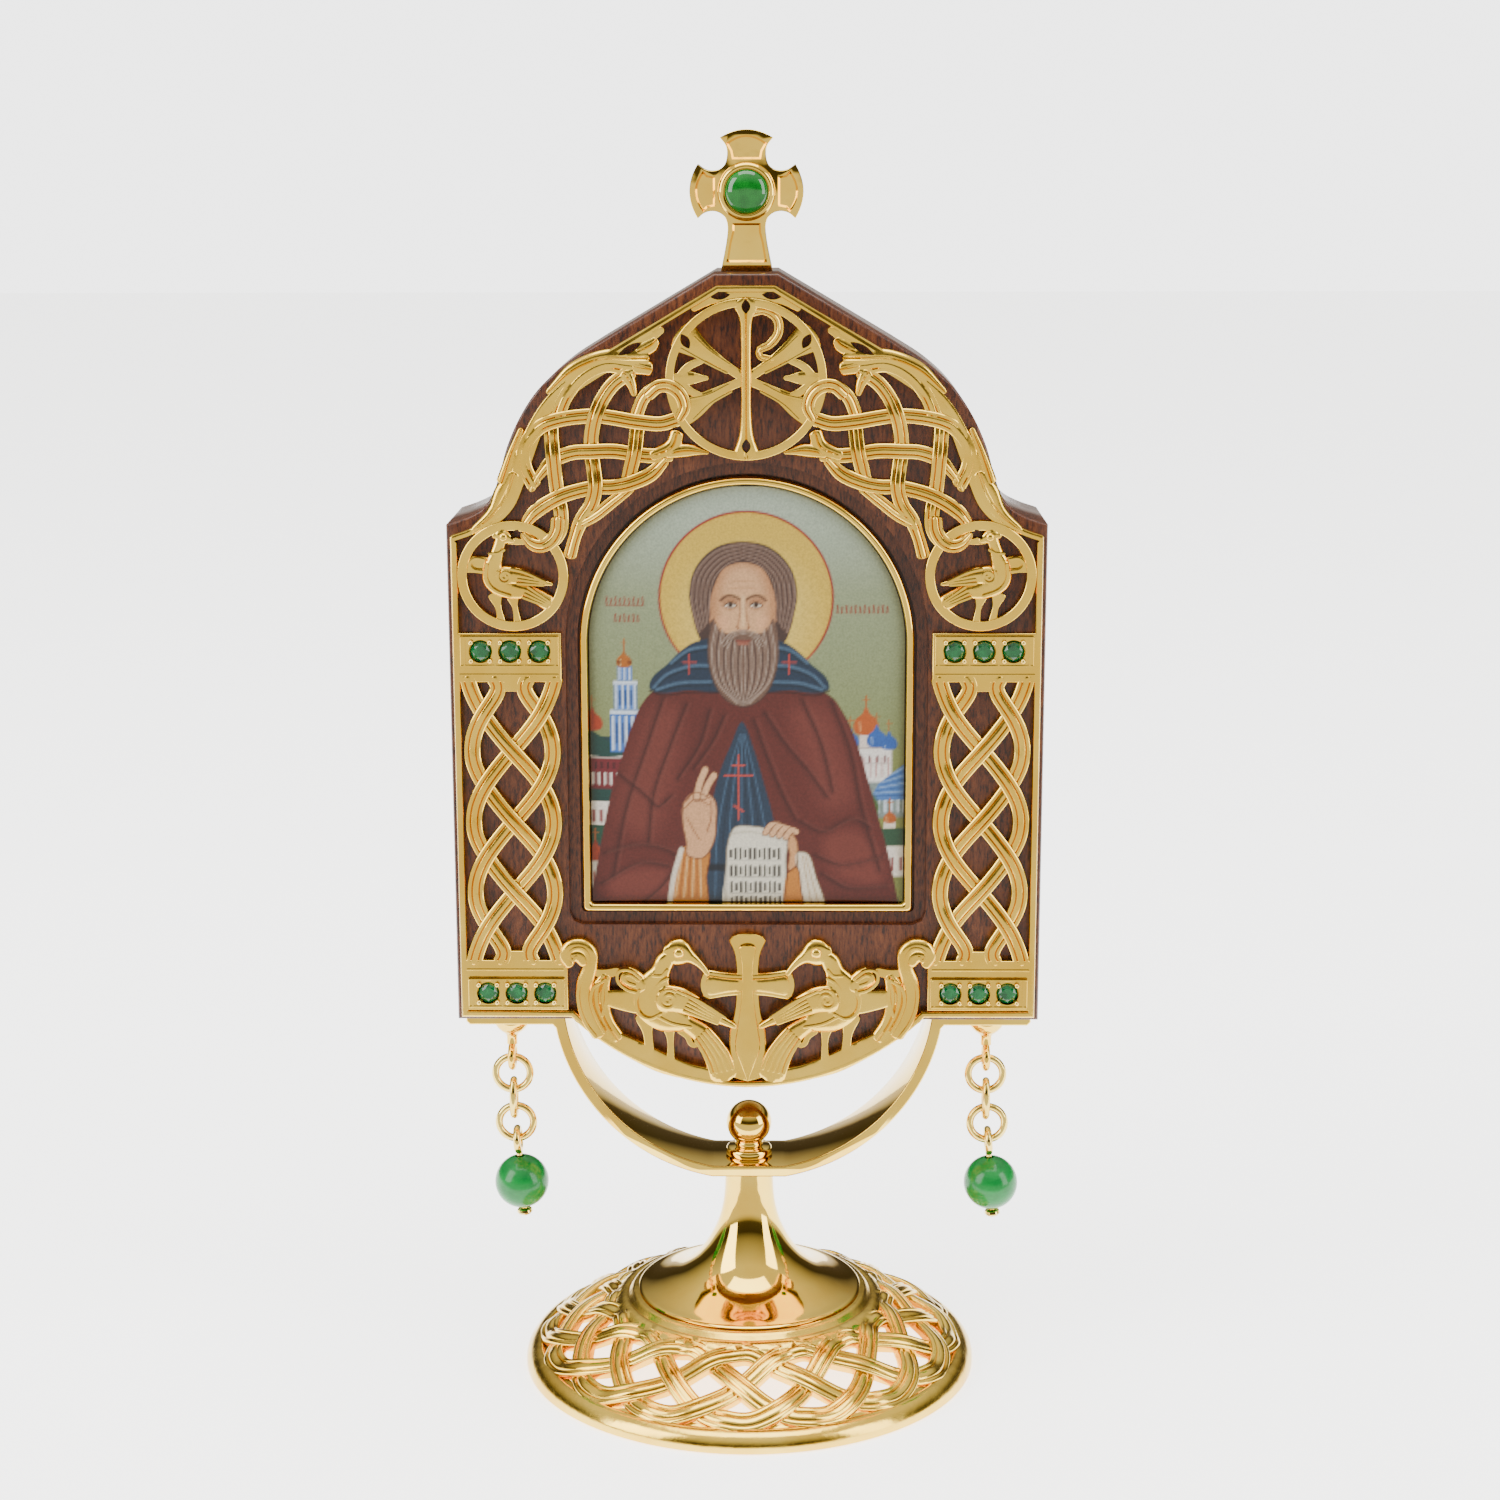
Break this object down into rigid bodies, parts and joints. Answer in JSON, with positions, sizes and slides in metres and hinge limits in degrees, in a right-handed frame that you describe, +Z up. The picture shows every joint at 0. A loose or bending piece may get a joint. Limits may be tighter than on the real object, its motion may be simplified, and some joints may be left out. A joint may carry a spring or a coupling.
{
  "type": "table icon on a pedestal",
  "caption": "Rigid table icon: arched painted plate in a lacquered board with a cast openwork cover, a cross on top, a bent yoke, a trumpet stem and a pierced round foot.",
  "frame": {"origin": "middle of the foot's underside, on the surface it stands on", "axes": "+Z up, +X to the viewer's right, the viewer looks along +Y at the picture"},
  "size_m": [0.0818, 0.066, 0.1778],
  "materials": {
    "gilt_brass": "polished cast brass with gilding",
    "lacquered_wood": "dark stained wood under clear lacquer",
    "painted_enamel": "painted picture under clear gloss",
    "cabochon_glass": "deep green polished cabochon",
    "faceted_stone": "faceted green stone",
    "green_bead": "polished opaque green stone"
  },
  "bodies": {
    "root": {"pierced_foot": "gilt_brass", "trumpet_stem": "gilt_brass", "yoke_strip": "gilt_brass", "washer": "gilt_brass", "ball_screw": "gilt_brass", "picture_frame": "gilt_brass", "openwork_plate": "gilt_brass", "top_cross": "gilt_brass", "left_stud": "gilt_brass", "left_upper_ring": "gilt_brass", "left_link": "gilt_brass", "left_lower_ring": "gilt_brass", "left_bead_pin": "gilt_brass", "right_stud": "gilt_brass", "right_upper_ring": "gilt_brass", "right_link": "gilt_brass", "right_lower_ring": "gilt_brass", "right_bead_pin": "gilt_brass", "wood_board": "lacquered_wood", "painted_plate": "painted_enamel", "cabochon": "cabochon_glass", "stone_upper_left_1": "faceted_stone", "stone_upper_left_2": "faceted_stone", "stone_upper_left_3": "faceted_stone", "stone_upper_right_1": "faceted_stone", "stone_upper_right_2": "faceted_stone", "stone_upper_right_3": "faceted_stone", "stone_lower_left_1": "faceted_stone", "stone_lower_left_2": "faceted_stone", "stone_lower_left_3": "faceted_stone", "stone_lower_right_1": "faceted_stone", "stone_lower_right_2": "faceted_stone", "stone_lower_right_3": "faceted_stone", "left_bead": "green_bead", "right_bead": "green_bead"}
  },
  "joints": []
}
